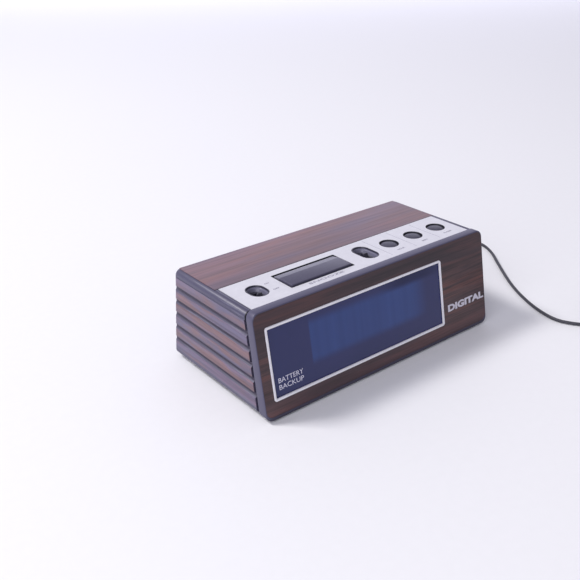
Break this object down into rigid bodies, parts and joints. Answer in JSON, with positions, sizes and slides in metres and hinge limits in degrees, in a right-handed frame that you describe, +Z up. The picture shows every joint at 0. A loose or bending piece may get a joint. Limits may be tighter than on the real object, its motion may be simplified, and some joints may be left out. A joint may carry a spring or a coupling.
{
  "type": "digital alarm clock",
  "caption": "Low wood-grain digital alarm clock with a leaning front, blue display window, snooze bar, slide switches and round push buttons, on a coiled mains cord.",
  "frame": {"origin": "under the middle of the case, on the surface that the feet stand on", "axes": "+X to the right seen from the front, +Y to the rear, +Z up"},
  "size_m": [0.3232, 0.2501, 0.0662],
  "materials": {
    "case_plastic": "satin moulded",
    "black_plastic": "satin moulded",
    "wood_foil": "printed wood-grain foil, satin",
    "silver_foil": "silver-grey printed foil",
    "lens_blue": "dark blue tinted, polished",
    "tube_glass": "clear glass over dark segments",
    "board_resin": "phenolic circuit board",
    "component_plastic": "moulded",
    "resistor_red": "dipped coating",
    "capacitor_blue": "shrink sleeve",
    "contact_brass": "bare spring strip",
    "steel": "zinc plated",
    "black_rubber": "matt flexible PVC or rubber",
    "wire_jacket": "PVC insulation",
    "winding_tape": "yellow tape over copper winding",
    "battery_shell": "painted can",
    "blade_brass": "plated",
    "ribbon_grey": "flat cable"
  },
  "bodies": {
    "case": {"cabinet": "case_plastic", "front_bezel": "case_plastic", "front_wood_panel": "wood_foil", "top_wood_panel": "wood_foil", "control_plate": "silver_foil", "display_frame": "silver_foil", "display_lens": "lens_blue", "display_mask": "black_plastic", "display_tube": "tube_glass", "display_board": "board_resin", "ribbon_cable": "ribbon_grey", "main_board": "board_resin", "clock_chip": "component_plastic", "capacitor_1": "capacitor_blue", "capacitor_2": "capacitor_blue", "capacitor_3": "capacitor_blue", "resistor_pack": "resistor_red", "board_screw_1": "steel", "board_screw_2": "steel", "board_screw_3": "steel", "board_screw_4": "steel", "alarm_slide_switch": "steel", "mode_slide_switch": "steel", "hour_contact": "contact_brass", "minute_contact": "contact_brass", "alarm_set_contact": "contact_brass", "snooze_contact": "contact_brass", "base_plate": "case_plastic", "rubber_foot_1": "black_rubber", "rubber_foot_2": "black_rubber", "rubber_foot_3": "black_rubber", "rubber_foot_4": "black_rubber", "case_screw_1": "steel", "case_screw_2": "steel", "case_screw_3": "steel", "case_screw_4": "steel", "backup_battery": "battery_shell", "battery_snap": "component_plastic", "buzzer": "component_plastic", "transformer_core": "steel", "transformer_winding": "winding_tape", "transformer_strap": "steel", "transformer_screw_1": "steel", "transformer_screw_2": "steel", "mains_lead": "wire_jacket", "strain_relief": "black_rubber", "power_cord": "black_rubber", "cord_coil": "black_rubber", "cord_tie": "black_plastic", "plug_body": "black_rubber", "plug_blade_1": "blade_brass", "plug_blade_2": "blade_brass"},
    "snooze": {"snooze_bar": "black_plastic"},
    "alarm_slider": {"alarm_switch_knob": "black_plastic"},
    "mode_slider": {"mode_switch_knob": "black_plastic"},
    "hour_key": {"hour_button": "black_plastic"},
    "minute_key": {"minute_button": "black_plastic"},
    "alarm_set_key": {"alarm_set_button": "black_plastic"},
    "battery_cover": {"battery_door": "case_plastic"}
  },
  "joints": [
    {"name": "snooze_press", "type": "hinge", "parent": "case", "child": "snooze", "pos_m": [-0.03125, -0.007, 0.0598], "axis": [1, 0, 0], "range_deg": [0, 5], "stiffness_Nm_per_rad": 0.34, "deforming": ["snooze_contact"]},
    {"name": "alarm_slide", "type": "slide", "parent": "case", "child": "alarm_slider", "axis": [0, 1, 0], "range_m": [0, 0.004]},
    {"name": "mode_slide", "type": "slide", "parent": "case", "child": "mode_slider", "axis": [0, 1, 0], "range_m": [-0.0035, 0.0035]},
    {"name": "hour_press", "type": "slide", "parent": "case", "child": "hour_key", "axis": [0, 0, -1], "range_m": [0, 0.002], "stiffness_N_per_m": 800, "deforming": ["hour_contact"]},
    {"name": "minute_press", "type": "slide", "parent": "case", "child": "minute_key", "axis": [0, 0, -1], "range_m": [0, 0.002], "stiffness_N_per_m": 800, "deforming": ["minute_contact"]},
    {"name": "alarm_set_press", "type": "slide", "parent": "case", "child": "alarm_set_key", "axis": [0, 0, -1], "range_m": [0, 0.002], "stiffness_N_per_m": 800, "deforming": ["alarm_set_contact"]},
    {"name": "battery_door_release", "type": "slide", "parent": "case", "child": "battery_cover", "axis": [0, 0, -1], "range_m": [0, 0.03]}
  ]
}
